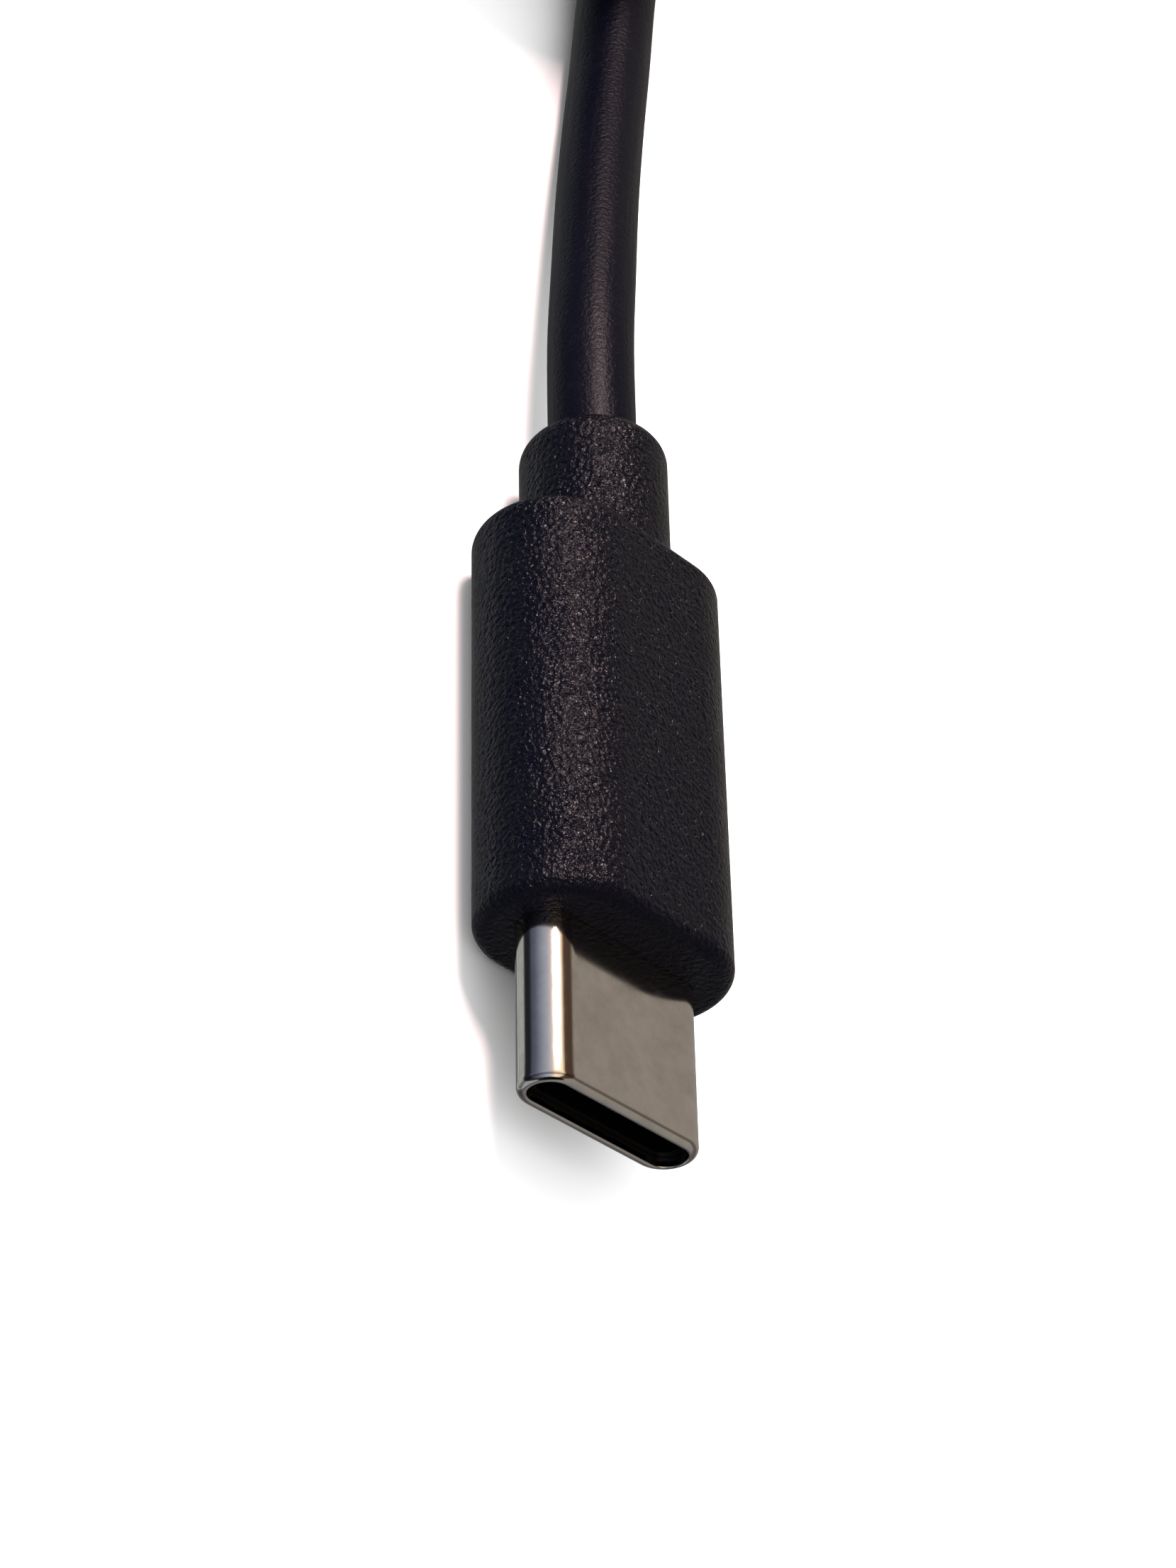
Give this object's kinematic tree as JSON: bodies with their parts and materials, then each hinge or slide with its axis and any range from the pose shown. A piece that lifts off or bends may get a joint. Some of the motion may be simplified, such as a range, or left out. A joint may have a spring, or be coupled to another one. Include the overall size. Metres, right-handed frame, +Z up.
{
  "type": "usb-c cable",
  "caption": "Reversible plug with a moulded round-sided grip on a round cord, the unseen length tied in a hank with the same plug on its far end.",
  "frame": {"origin": "under the middle of the near plug, on the surface that it lies on", "axes": "+Y along the near plug from its tip towards its cord, +Z up from the surface, +X across the plug"},
  "size_m": [0.0325, 0.1348, 0.012],
  "materials": {
    "grip_rubber": "matt fine-grained thermoplastic rubber, black",
    "tip_metal": "satin nickel-plated steel",
    "insulator": "black glass-filled plastic",
    "carrier": "black glass-filled plastic",
    "contact_gold": "gold-plated copper alloy",
    "spring_metal": "stainless spring strip",
    "card": "green solder mask on glass-epoxy board",
    "chip": "ceramic chip capacitor",
    "solder": "bright solder",
    "shield_metal": "tinned steel",
    "crimp_brass": "plain copper alloy ring",
    "inner_mould": "natural polyethylene",
    "cord_jacket": "satin black cord jacket",
    "tie_strap": "black plastic strap",
    "wire_red": "red wire insulation",
    "wire_black": "black wire insulation",
    "wire_blue": "blue wire insulation",
    "wire_green": "green wire insulation",
    "wire_white": "white wire insulation"
  },
  "bodies": {
    "root": {"overmould": "grip_rubber", "shell": "tip_metal", "front_housing": "insulator", "rear_carrier": "carrier", "upper_contacts": "contact_gold", "lower_contacts": "contact_gold", "latch_plate": "spring_metal", "upper_ground_spring": "spring_metal", "lower_ground_spring": "spring_metal", "circuit_card": "card", "bypass_capacitor": "chip", "solder_joints": "solder", "upper_shield": "shield_metal", "lower_shield": "shield_metal", "crimp_ring": "crimp_brass", "inner_mould": "inner_mould", "jacket_end": "cord_jacket", "vbus_wire": "wire_red", "ground_wire": "wire_black", "cc_wire": "wire_blue", "data_plus_wire": "wire_green", "data_minus_wire": "wire_white", "far_overmould": "grip_rubber", "far_shell": "tip_metal", "far_front_housing": "insulator", "far_rear_carrier": "carrier", "far_upper_contacts": "contact_gold", "far_lower_contacts": "contact_gold", "far_latch_plate": "spring_metal", "far_upper_ground_spring": "spring_metal", "far_lower_ground_spring": "spring_metal", "far_circuit_card": "card", "far_bypass_capacitor": "chip", "far_solder_joints": "solder", "far_upper_shield": "shield_metal", "far_lower_shield": "shield_metal", "far_crimp_ring": "crimp_brass", "far_inner_mould": "inner_mould", "far_jacket_end": "cord_jacket", "far_vbus_wire": "wire_red", "far_ground_wire": "wire_black", "far_cc_wire": "wire_blue", "far_data_plus_wire": "wire_green", "far_data_minus_wire": "wire_white", "cord_lead": "cord_jacket", "cord_hank": "cord_jacket", "cord_tail": "cord_jacket", "hank_ties": "tie_strap"}
  },
  "joints": []
}
